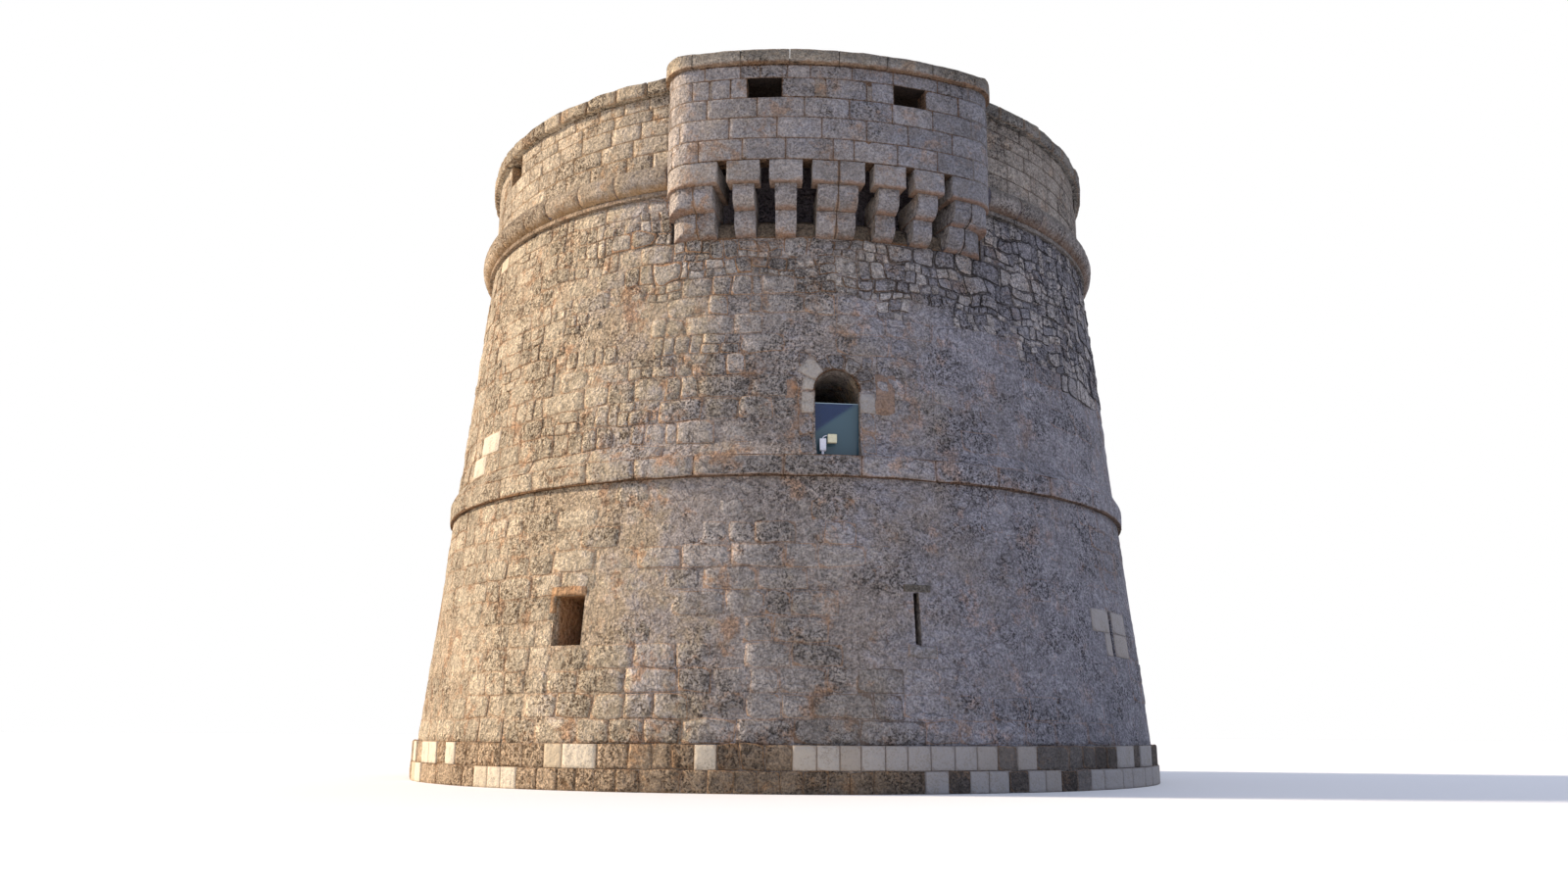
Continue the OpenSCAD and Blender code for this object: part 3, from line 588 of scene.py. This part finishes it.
def broken(blocks, mean):
    """Splits blocks into small rough stones where the rubble is bare, and some at the left
    of the doorway into hewn ones of middle size."""
    laid = []
    for block in blocks:
        x0, x1, z0, z1 = block[:4]
        az = math.degrees((x0 + x1) / 2 / mean)
        bare = laid_bare(az, (z0 + z1) / 2)
        if bare >= 0.3 and chance.random() <= bare * 1.25:
            for low, high in split_rows(z0, z1, 0.28, 0.72, 0.62):
                longest = max(0.26, (high - low) * 1.8)
                rough = chance.uniform(0.78, 1.0)
                laid += course(low, high, [(x0, x1)], 0.12, longest, (0.0, 0.045), rough)
        elif -78 < (az + 180) % 360 - 180 < -14 and chance.random() < 0.6 and not block[4]:
            for low, high in split_rows(z0, z1, 0.35, 0.65, 0.45):
                laid += course(low, high, [(x0, x1)], 0.16, 0.44, (-0.004, 0.026), 0.45)
        else:
            laid.append(block)
    return laid


upper_mean = 7.15
door_gap = [(0.0, 1.42)]
new_spots = ((-60.5, 6.5), (-62.2, 6.1), (-66, 10.6))
for name, low, high, rows, holes, start, end in (
    ("weathering_stones", 5.64, 5.90, 1, door_gap, 0, 360),
    ("upper_wall_stones_beside_door", 5.90, 7.56, 4, door_gap, 0, 360),
    ("upper_wall_stones", 7.56, 9.83, 6, [], 0, 360),
    ("upper_wall_stones_beside_box", 9.83, 10.87, 3, [], 25.5, 334.5),
):
    blocks = []
    step = (high - low) / rows
    longest = 1.6 if rows == 1 else 1.05
    for row in range(rows):
        base = low + row * step
        spans = beside(holes, upper_mean, start, end)
        blocks += course(base, base + step, spans, longest / 2.1, longest)
    blocks = coated(blocks, upper_mean, coat_above, holes, new_spots)
    if rows > 1:
        blocks = broken(blocks, upper_mean)
    lay(name, blocks, round_wall(upper_face, upper_mean), wall_stone, worn=0.010,
        wander=0.009)
finish(lime_coat, "upper_wall_door_courses", "upper_wall_plain_courses",
    "upper_wall_corbel_courses")

# Doorway: squared jamb stones and a round arch of wedge stones in a bed of ochre mortar.
# Some of the jamb stones are new, and a sheet of glass closes the way below the arch.

# Finely dressed with the chisel: flat faces, crisp joints and a close grain.
dressed_stone = weathered_limestone("dressed_limestone", "#DCCBB9", "#949296", "#4A423A",
    "#B8916F", 0.45, 0.8)
door_mean = 7.3
arch_radius, springing = 0.55, 6.85
arch_length = arch_radius * math.pi


def on_arch(along, out, z):
    turn = math.pi - along / arch_radius
    x, up = z * math.cos(turn), springing + z * math.sin(turn)
    r = upper_face(up) + out
    return Vector((r * math.sin(x / r), -r * math.cos(x / r), up))


jambs = []
for low, high, inner, reach, new in (
    (5.66, 6.02, -0.404, -0.70, 0), (6.02, 6.42, -0.404, -0.69, 0),
    (6.42, 6.82, -0.404, -0.645, 0.8), (5.66, 6.06, 0.404, 0.69, 0),
    (6.06, 6.44, 0.404, 0.69, 0), (6.44, 6.83, 0.404, 0.70, 0.9),
    (7.30, 7.55, -0.44, -0.70, 0), (7.28, 7.55, 0.46, 0.70, 0),
):
    jambs.append([min(inner, reach), max(inner, reach), low, high, 0.9 * new,
        0.008 + 0.006 * new, 0.5 - 0.5 * new])
lay("jamb_stones", jambs, round_wall(upper_face, door_mean), dressed_stone,
    cuts=3)
wedges, at = [], 0.0
for share, outer, new, rough in ((1.0, 0.645, 0.8, 0.1), (1.25, 0.80, 0.7, 0.1),
        (0.8, 0.66, 0, 0.8), (1.1, 0.71, 0, 0.7), (0.9, 0.70, 0, 0.8), (1.1, 0.74, 0, 0.9),
        (0.85, 0.66, 0, 0.7)):
    width = share * arch_length / 7
    wedges.append([at, at + width, 0.404, outer, new, 0.010, rough])
    at += width
lay("arch_stones", wedges, on_arch, dressed_stone, cuts=3, wander=0.006)
patches = [[0.71, 1.12, 6.38, 7.28, 0.0, 0.018, 0.6], [-0.94, -0.74, 6.66, 7.10, 0.0, 0.014, 0.6],
           [-0.73, -0.655, 6.36, 6.9, 0.0, 0.010, 0.2]]
lay("door_mortar_patches", patches, round_wall(upper_face, door_mean), ochre_mortar,
    wander=0.05, worn=0.006, arris=0.03)
bed = [[arch_length * n / 20, arch_length * (n + 1) / 20, 0.399, 0.428, 0.0, 0.012, 0.0]
       for n in range(20)]
lay("arch_mortar_edge", bed, on_arch, bedding_mortar_and_painted_shade, cuts=2, joint=0.0,
    wander=0.002, worn=0.002, arris=0.003)
finish(lime_coat, "door_jambs", "door_arch")

# Glass: one clear sheet with a blue-green cast, a painted reflection that darkens it towards its
# upper left, and a painted highlight along its ground and polished top edge. It stands on the sill
# between the jambs.

# Floated on molten tin: dead flat and glossy, with a painted highlight along the ground top edge.
glass = bpy.data.materials.new("tinted_glass_with_painted_reflection")
glass.use_nodes = True
sheet = glass.node_tree
pane = sheet.nodes["Principled BSDF"]
place = add_node(sheet, "ShaderNodeTexCoord").outputs["Object"]
reflection_gradient = add_node(sheet, "ShaderNodeVectorMath", {0: place, 1: (0.9, 0.0, -1.25)},
    operation="DOT_PRODUCT")
reflection_gradient = add_node(sheet, "ShaderNodeMapRange", {0: reflection_gradient.outputs["Value"], 1: -8.05, 2: -7.93})
tint_and_painted_reflection = add_node(sheet, "ShaderNodeMix", {0: reflection_gradient.outputs[0], 6: shade("#1E3358"),
    7: shade("#48616B")}, data_type="RGBA")
up = add_node(sheet, "ShaderNodeSeparateXYZ", {0: place}).outputs["Z"]
top = max(v.co.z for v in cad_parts["door_glass"].data.vertices)
# Painted highlight: a pale line along the top edge.
edge = add_node(sheet, "ShaderNodeMapRange", {0: up, 1: top - 0.014, 2: top - 0.010})
tint_and_painted_reflection = add_node(sheet, "ShaderNodeMix", {0: edge.outputs[0], 6: tint_and_painted_reflection.outputs[2],
    7: shade("#A9BFC4")}, data_type="RGBA")
sheet.links.new(tint_and_painted_reflection.outputs[2], pane.inputs["Base Color"])
pane.inputs["Roughness"].default_value = 0.06
pane.inputs["Alpha"].default_value = 0.85
pane.inputs["Specular IOR Level"].default_value = 0.3
finish(glass, "door_glass")


# Fitting at the sill: a white enamelled box on a short square post, with a bent tube arm to a cream
# lamp head. The box, the post and the head are folded sheet with rounded edges, and the box and the
# head have a shallow lid in their face.
def enamel(name, tint, dust):
    """Enamel sprayed on sheet metal and baked: smooth and even, dulled by dust and salt."""
    made = bpy.data.materials.new(name)
    made.use_nodes = True
    tree = made.node_tree
    place = add_node(tree, "ShaderNodeTexCoord").outputs["Object"]
    specks = add_node(tree, "ShaderNodeTexNoise", {"Vector": place, "Scale": 30.0, "Detail": 5.0,
        "Roughness": 0.7}).outputs[0]
    share = add_node(tree, "ShaderNodeMapRange", {0: specks, 1: 0.45, 2: 0.75, 3: 0.0, 4: 0.55})
    both = add_node(tree, "ShaderNodeMix", {0: share.outputs[0], 6: shade(tint), 7: shade(dust)},
        data_type="RGBA")
    gloss = add_node(tree, "ShaderNodeMapRange", {0: specks, 1: 0.3, 2: 0.7, 3: 0.3, 4: 0.6})
    coat = tree.nodes["Principled BSDF"]
    tree.links.new(both.outputs[2], coat.inputs["Base Color"])
    tree.links.new(gloss.outputs[0], coat.inputs["Roughness"])
    return made


def extent(node):
    """The lowest and the highest corner of a CAD node."""
    spots = [v.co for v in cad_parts[node].data.vertices]
    return [Vector([pick(v[n] for v in spots) for n in range(3)]) for pick in (min, max)]


def folded_box(name, low, high, surface, rounding, lid=0.0):
    cut = bmesh.new()
    bmesh.ops.create_cube(cut, size=1, matrix=Matrix.LocRotScale((low + high) / 2, None, high - low))
    front = min(cut.faces, key=lambda f: f.calc_center_median().y)
    if lid:
        bmesh.ops.inset_individual(cut, faces=[front], thickness=lid, depth=0)
        bmesh.ops.inset_individual(cut, faces=[front], thickness=0.002, depth=-0.003)
    outer = [e for e in cut.edges if e.calc_length() > 0.03 and e.calc_face_angle(0) > 1.2
             and not any(f is front for f in e.link_faces)]
    bmesh.ops.bevel(cut, geom=outer, offset=rounding, segments=3, profile=0.5, affect="EDGES",
        material=-1, clamp_overlap=True)
    for f in cut.faces:
        f.smooth = True
    piece = keep(name, cut, surface)
    piece.data.set_sharp_from_angle(angle=math.radians(50))
    return piece


white_enamel = enamel("white_enamelled_sheet", "#D9D8E0", "#B5AFA8")
cream_enamel = enamel("cream_enamelled_sheet", "#D5CFAE", "#A9A184")
head_width, tube_radius, tube_squash = 0.16, 0.010, 0.72
post_low, post_high = extent("fitting_post")
case_low, case_high = extent("fitting_case")
lamp_low, lamp_high = extent("fitting_lamp")
head_low = Vector((lamp_high.x - head_width, lamp_low.y, lamp_low.z))
post = folded_box("fitting_post_tube", post_low, post_high, white_enamel, 0.006)
case = folded_box("fitting_case_shell", case_low, case_high, white_enamel, 0.012,
    0.014)
head = folded_box("fitting_lamp_head", head_low, lamp_high, cream_enamel, 0.010,
    0.012)
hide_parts("fitting_post")
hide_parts("fitting_case")
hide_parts("fitting_lamp")
cut = bmesh.new()
middle = (case_low + case_high) / 2
reach = head_low.x + 0.004 - middle.x
hoop = bmesh.ops.create_circle(cut, segments=16, radius=tube_radius)["verts"]
bmesh.ops.translate(cut, verts=hoop, vec=(-reach, 0, 0))
bmesh.ops.spin(cut, geom=hoop + cut.edges[:], cent=(0, 0, 0), axis=(0, 1, 0), angle=math.pi / 2,
    steps=14)
bmesh.ops.holes_fill(cut, edges=[e for e in cut.edges if len(e.link_faces) == 1])
bmesh.ops.scale(cut, verts=cut.verts, vec=(1, 1, tube_squash))
bmesh.ops.translate(cut, verts=cut.verts, vec=(middle.x + reach, middle.y, case_high.z - 0.002))
bmesh.ops.recalc_face_normals(cut, faces=cut.faces)
for f in cut.faces:
    f.smooth = len(f.verts) == 4
keep("fitting_arm_tube", cut, white_enamel)


# Box over the doorway: dressed blocks on two stages of corbels, with slots to drop missiles.
# Its corners are rounded, and its front is set out in five courses under the coping.
def box_face(along, out, z, radius=7.6, corner=0.6, half=math.radians(25.7)):
    """Bends a course round the front, the rounded corner and the side of the box."""
    turn = math.asin(corner / (radius - corner))
    bend, side = half - turn, 1 if along >= 0 else -1
    s, centre = abs(along), radius - corner
    on_corner = s - bend * radius
    on_side = on_corner - corner * (math.pi / 2 + turn)
    if on_corner <= 0:
        x, y = (radius + out) * math.sin(s / radius), -(radius + out) * math.cos(s / radius)
    elif on_side <= 0:
        at = bend + on_corner / corner
        x = centre * math.sin(bend) + (corner + out) * math.sin(at)
        y = -centre * math.cos(bend) - (corner + out) * math.cos(at)
    else:
        r = centre * math.cos(turn) - on_side
        x = r * math.sin(half) + out * math.cos(half)
        y = -r * math.cos(half) + out * math.sin(half)
    return Vector((side * x, y, z))


box_radius, box_end = 7.6, 3.86
# Joints in degrees, and in metres beside the windows. They were found as those of the plinth
# were, apart from most of the ones at the corners, which are guessed.
box_rows = (
    (11.13, 11.55, (-24.0, -19.6, -13.4, -7.4, -0.8, 2.1, 8.4, 14.5, 20.5, 24.6)),
    (11.55, 11.97, (-22.5, -15.3, -8.6, -2.4, 3.9, 10.0, 17.0, 23.5)),
    (11.97, 12.37, (-25.0, -18.5, -11.4, -4.8, 1.5, 7.7, 13.9, 20.3, 25.5)),
    (12.765, 13.025, (-24.5, -18.9, -13.8, -11.0, -7.2, -4.0, 1.9, 7.9, 14.8, 20.0, 25.0)),
)
window_low, window_high = 12.37, 12.765
window_row = ((-box_end, -3.35), (-3.35, -2.746), (-2.746, -2.42), (-2.38, -2.016),
    (-2.01, -1.705), (-1.055, -0.43), (-0.25, 0.53), (0.62, 1.05), (1.705, 2.40), (2.42, 3.17),
    (3.17, box_end))
blocks = []
for low, high, joints in box_rows:
    metres = [-box_end] + [math.radians(a) * box_radius for a in joints] + [box_end]
    for a, b in zip(metres, metres[1:]):
        blocks.append([a, b, low, high, 0.0, chance.uniform(0.004, 0.012), 0.0])
for a, b in window_row:
    blocks.append([a, b, window_low, window_high, 0.0, chance.uniform(0.004, 0.012), 0.1])
lay("box_stones", blocks, box_face, dressed_stone, cuts=8, worn=0.005,
    wander=0.005, joint=0.005)
patches = [[a, b, 12.375, 12.76, 0.0, proud, 0.2]
           for a, b, proud in ((-0.44, -0.24, 0.002), (0.52, 0.63, 0.002), (-2.43, -2.37, 0.004))]
lay("box_mortar_patches", patches, box_face, lime_mortar, wander=0.02,
    worn=0.004)
# Mortar in the shelter of the corbels, where no rain washes off the soot: dark and dry, partly soot
# and partly painted shade inside the box and behind the cordon.
soot_and_shade_mortar = weathered_limestone("soot_and_shade_mortar", "#8D807A", "#716D76", "#2E2B31", "#8A6E5C",
    0.3, 0.7, blocks=False)
finish(bedding_mortar_and_painted_shade, "box_front_wall", "box_window_piers", "box_top_course")
finish(lime_mortar, "box_cheeks")


def dress(name, node, surface, arris=0.014, worn=0.006, rough=-1.0, joints=(),
        fresh=0.0):
    """The CAD stones of a node, with worn arrises, faces hewn uneven and ochre beds below.
    Each stone has a tone of its own, and thin joints at the azimuths of joints."""
    cut = bmesh.new()
    cut.from_mesh(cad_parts[node].data)
    bmesh.ops.remove_doubles(cut, verts=cut.verts, dist=1e-5)
    bmesh.ops.dissolve_limit(cut, angle_limit=math.radians(1), verts=cut.verts, edges=cut.edges)
    sharp = [e for e in cut.edges if len(e.link_faces) == 2
             and e.calc_face_angle() > math.radians(35)]
    bmesh.ops.bevel(cut, geom=sharp, offset=arris, segments=2, profile=0.5, affect="EDGES",
        material=-1, clamp_overlap=True)
    bmesh.ops.triangulate(cut, faces=cut.faces)
    for _ in range(3):
        wide = [e for e in cut.edges if e.calc_length() > 0.16]
        bmesh.ops.subdivide_edges(cut, edges=wide, cuts=1)
        bmesh.ops.triangulate(cut, faces=cut.faces)
    told = cut.verts.layers.float_color.new("block")
    cut.normal_update()
    seen = set()
    for start in cut.verts:
        if start in seen:
            continue
        stone, edge, tone = [], [start], chance.random()
        seen.add(start)
        while edge:
            v = edge.pop()
            stone.append(v)
            for e in v.link_edges:
                other = e.other_vert(v)
                if other not in seen:
                    seen.add(other)
                    edge.append(other)
        foot = min(v.co.z for v in stone)
        for v in stone:
            v[told] = (tone, fresh, rough, max(0.0, 1 - (v.co.z - foot) / 0.3))
            az = math.degrees(math.atan2(v.co.x, -v.co.y))
            if any(abs(az - joint) < 0.13 for joint in joints):
                v[told] = (tone, 0.0, 1.0, 1.0)
    for v in cut.verts:
        v.co += v.normal * worn * min(0.0, noise.fractal(v.co * 4, 0.8, 2.1, 3) - 0.7)
    for f in cut.faces:
        f.smooth = True
    piece = keep(name, cut, surface)
    piece.data.set_sharp_from_angle(angle=math.radians(38))
    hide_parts(node)


dress("lintel_blocks", "box_lintels", dressed_stone, joints=(0,), fresh=0.25)
dress("upper_corbel_stones", "box_upper_corbels", dressed_stone,
    joints=(-20.5, 0, 20.5))
dress("lower_corbel_stones", "box_lower_corbels", dressed_stone,
    joints=(-20.5, 0, 20.5))
# Hewn stone in the same shelter: brown-grey, darker than the box's dressed stone, with little
# contrast.
sheltered_stone = weathered_limestone("sheltered_limestone", "#94806A", "#6E6458", "#332C26",
    "#8E6B4E", 0.5, 0.9)
dress("recess_stones", "box_recess_blocks", sheltered_stone)
# The back wall inside the box, seen through the slots and windows: painted dark as shade, partly
# soot.
finish(soot_and_shade_mortar, "box_back_wall")
finish(lime_mortar, "box_roof")

# Threshold: a low row of flat stones between the terrace and the chutes, bedded on the
# paving. It keeps the rain out of them.
terrace_level = 11.45


def on_chute_edge(along, out, z, mean=6.33):
    az = along / mean
    return Vector((z * math.sin(az), -z * math.cos(az), terrace_level + out))


blocks = course(6.09, 6.56, [(-2.16, 2.16)], 0.5, 0.8, (0.075, 0.085), 0.0)
lay("chute_threshold_stones", blocks, on_chute_edge, dressed_stone, back=0.01,
    cuts=3)


# Cordon: half-round stones at the level of the terrace, bedded on a fillet of lime mortar.
# Its foot is stained golden where the rain drips off, and its crown is grimy; the gold is painted
# light at the sunlit left and dark brown as shade at the right, and the grime is painted fainter at
# the left.
def cordon_face(along, out, t, mean=7.0, centre=6.88, level=11.22, radius=0.27):
    az, turn = along / mean, t / radius
    r = centre + (radius + out) * math.cos(turn)
    return Vector((r * math.sin(az), -r * math.cos(az), level + (radius + out) * math.sin(turn)))


nose = 0.27 * math.pi / 2
blocks = course(-nose, nose, beside([], 7.0, 26.7, 334.2), 0.6, 1.15, (0.008, 0.016), 0.0)
# Cut to a half round with chisel and templet, then weathered: even curves, blurred joints.
cordon_stone = weathered_limestone("stained_cordon_limestone", "#D6BE9E", "#A09994", "#463E35",
    "#C49A70", 0.6, foot=11.03)
lay("cordon_stones", blocks, cordon_face, cordon_stone, cuts=7, joint=0.004,
    back=0.05)
finish(lime_mortar, "cordon_fillet")
finish(soot_and_shade_mortar, "cordon")

# Parapet: five courses of dressed stone outside and the same inside, with embrasures in the
# top two. The terrace behind is paved with slabs laid in rings.

# Dressed stone on the open top, scoured by rain and wind: pale, with grey lichen.
parapet_stone = weathered_limestone("weathered_parapet_limestone", "#EED7B5", "#ABA196",
    "#463F38", "#CFA478", 0.5)
embrasures = [(65.9, 0.66), (142.0, 0.66), (218.0, 0.66), (294.1, 0.66)]
outer_radius, inner_radius = 6.88, 6.08
for name, radius, outward, low in (
    ("parapet_stones_outside", outer_radius, 1, 11.49),
    ("parapet_stones_inside", inner_radius, -1, terrace_level),
):
    blocks = []
    for base, top, holes in ((low, 11.84, []), (11.84, 12.19, []), (12.19, 12.54, []),
                             (12.54, 12.79, embrasures), (12.79, 13.04, embrasures)):
        gaps = [(az, width * radius / outer_radius) for az, width in holes]
        spans = beside(gaps, radius, 25.8, 334.2)
        blocks += course(base, top, spans, 0.5, 0.95, (0.004, 0.012), 0.1)
    bend = round_wall(lambda z: radius, radius)
    lay(name, blocks, lambda along, out, z: bend(along, outward * out, z), parapet_stone,
        worn=0.004, wander=0.005, joint=0.004)
# Lime mortar raked out and pointed again by hand: buff and sandy, painted dark as shade on the
# shaded side.
pointing = weathered_limestone("parapet_pointing", "#C9A67C", "#4C443D", "#3A332C", "#C08F60",
    0.3, 0.6, blocks=False)
finish(pointing, "parapet_breast", "parapet_piers")
hub_radius, slab_width = 0.48, 0.56


def on_terrace(along, out, z):
    """Bends a row of slabs round the terrace: along is metres at the middle of the row."""
    row = math.floor((z - hub_radius) / slab_width)
    az = along / (hub_radius + (row + 0.5) * slab_width)
    return Vector((z * math.sin(az), -z * math.cos(az), terrace_level + out))


blocks = []
for row in range(10):
    inner = hub_radius + slab_width * row
    start = row * 0.3
    span = (start, start + full * (inner + slab_width / 2))
    blocks += course(inner + 0.001, inner + 0.559, [span], 0.5, 0.95, (0.006, 0.012))
# Sawn slabs, walked on for two centuries: worn flat and dull, with shallow pits.
paving_stone = weathered_limestone("worn_paving_limestone", "#B7A283", "#948B7E", "#5B5044",
    "#AE8861", 0.3, 0.7)
lay("terrace_slabs", blocks, on_terrace, paving_stone, back=0.02, cuts=2,
    worn=0.003, wander=0.003)
finish(lime_mortar, "terrace_paving")

# Coping: heavy weathered stones along the parapet and round the box, bedded in ochre mortar.
# They are laid by their weight alone and throw the rain off both faces.

# Hewn blocks in the open: rounded and deeply pitted, grimy above, golden below; the gold is painted
# light at the sunlit left and dark brown as shade at the right, and the grime is painted fainter at
# the left.
coping_stone = weathered_limestone("weathered_coping_limestone", "#E8D0AC", "#99948E", "#443D35",
    "#C49A70", 0.7, foot=12.95)
coping_mean = 7.03
blocks = course(13.045, 13.34, beside([], coping_mean, 26.5, 333.5), 0.36, 0.8, (-0.025, 0.0), 0.3)
on_parapet = round_wall(lambda z: coping_mean, coping_mean)
parapet_coping = lay("parapet_coping_stones", blocks, on_parapet, coping_stone,
    back=0.95, cuts=5, arris=0.03, worn=0.010)
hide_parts("parapet_coping")
dress("box_coping_stones", "box_coping", coping_stone, arris=0.03, worn=0.012)

# Floor and light: a pale studio floor, a low warm sun from the left and two weak, wide and
# cooler ones that fill the front and the back of the right side.

# Matt paper, rolled smooth: pale and even, so that nothing competes with the stone.
ground = bmesh.new()
bmesh.ops.create_circle(ground, cap_ends=True, segments=96, radius=260)
floor = bpy.data.objects.new("studio_floor", bpy.data.meshes.new("studio_floor"))
ground.to_mesh(floor.data)
ground.free()
pale = bpy.data.materials.new("pale_studio_paper")
pale.use_nodes = True
pale.node_tree.nodes["Principled BSDF"].inputs["Base Color"].default_value = shade("#E4E2DE")
pale.node_tree.nodes["Principled BSDF"].inputs["Roughness"].default_value = 0.9
floor.data.materials.append(pale)
bpy.context.scene.collection.objects.link(floor)
floor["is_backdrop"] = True

for lamp_name, strength, angle, turn_x, turn_z, tint in (
    ("left_lamp", 5.95, 6, 62, -104, "#FFEFDC"),
    ("front_lamp", 0.45, 70, 55, 10, "#DCE6FA"),
    ("right_lamp", 0.9, 70, 60, 135, "#EFEBEC"),
):
    lamp = bpy.data.objects.new(lamp_name, bpy.data.lights.new(lamp_name, "SUN"))
    lamp.data.energy = strength
    lamp.data.angle = math.radians(angle)
    lamp.data.color = shade(tint)[:3]
    lamp.rotation_euler = (math.radians(turn_x), 0, math.radians(turn_z))
    bpy.context.scene.collection.objects.link(lamp)

# Studio light: the backdrop is white where it is seen, and it sheds a soft blue light on the
# stone from all sides.
world = bpy.data.worlds.new("pale_studio")
bpy.context.scene.world = world
world.use_nodes = True
studio = world.node_tree
studio.nodes.clear()
ray = add_node(studio, "ShaderNodeLightPath").outputs
seen = add_node(studio, "ShaderNodeMath", {0: ray["Is Camera Ray"], 1: ray["Is Glossy Ray"]},
    operation="MAXIMUM")
seen = add_node(studio, "ShaderNodeMath", {0: seen.outputs[0], 1: ray["Is Transmission Ray"]},
    operation="MAXIMUM")
soft = add_node(studio, "ShaderNodeBackground", {0: shade("#C3D3F9"), 1: 0.70})
white = add_node(studio, "ShaderNodeBackground", {0: (1, 1, 1, 1), 1: 1.0})
both = add_node(studio, "ShaderNodeMixShader", {0: seen.outputs[0], 1: soft.outputs[0],
    2: white.outputs[0]})
add_node(studio, "ShaderNodeOutputWorld", {0: both.outputs[0]})

low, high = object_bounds()
